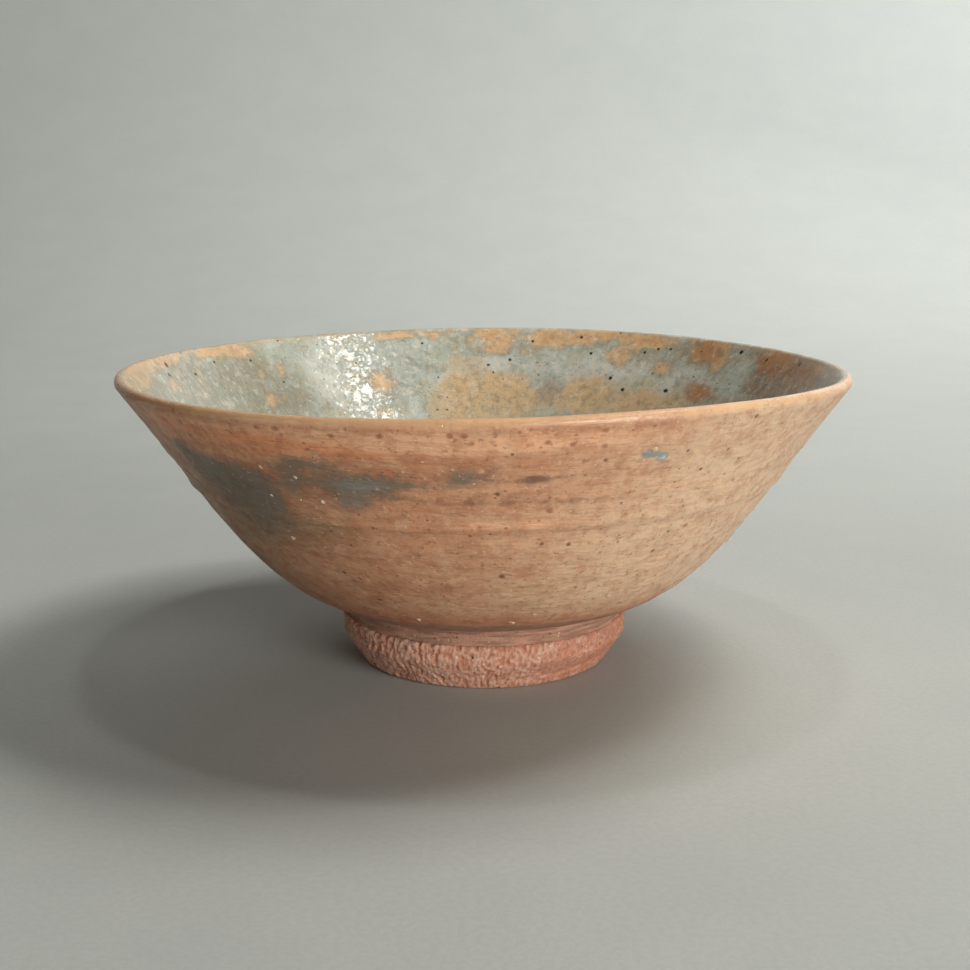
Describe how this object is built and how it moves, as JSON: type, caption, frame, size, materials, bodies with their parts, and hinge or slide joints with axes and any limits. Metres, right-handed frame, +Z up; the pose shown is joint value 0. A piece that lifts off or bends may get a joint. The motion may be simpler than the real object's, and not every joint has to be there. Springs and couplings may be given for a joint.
{
  "type": "matcha bowl",
  "caption": "Wide hand-thrown stoneware tea bowl with flared walls, a rounded lip and a turned foot ring, glazed inside and out down to a bare foot.",
  "frame": {"origin": "centre of the flat face of the foot ring, where the bowl rests on the table", "axes": "+Z up along the axis the bowl was thrown about, +X to the right and -Y towards a person who looks at its front"},
  "size_m": [0.1508, 0.1508, 0.0626],
  "materials": {
    "body_clay": "matte",
    "foot_clay": "matte",
    "outer_glaze": "satin",
    "inner_glaze": "gloss",
    "feldspar": "satin"
  },
  "bodies": {
    "root": {"bowl_wall": "body_clay", "foot_ring": "foot_clay", "outer_glaze": "outer_glaze", "inner_glaze": "inner_glaze", "stone_grains": "feldspar"}
  },
  "joints": []
}
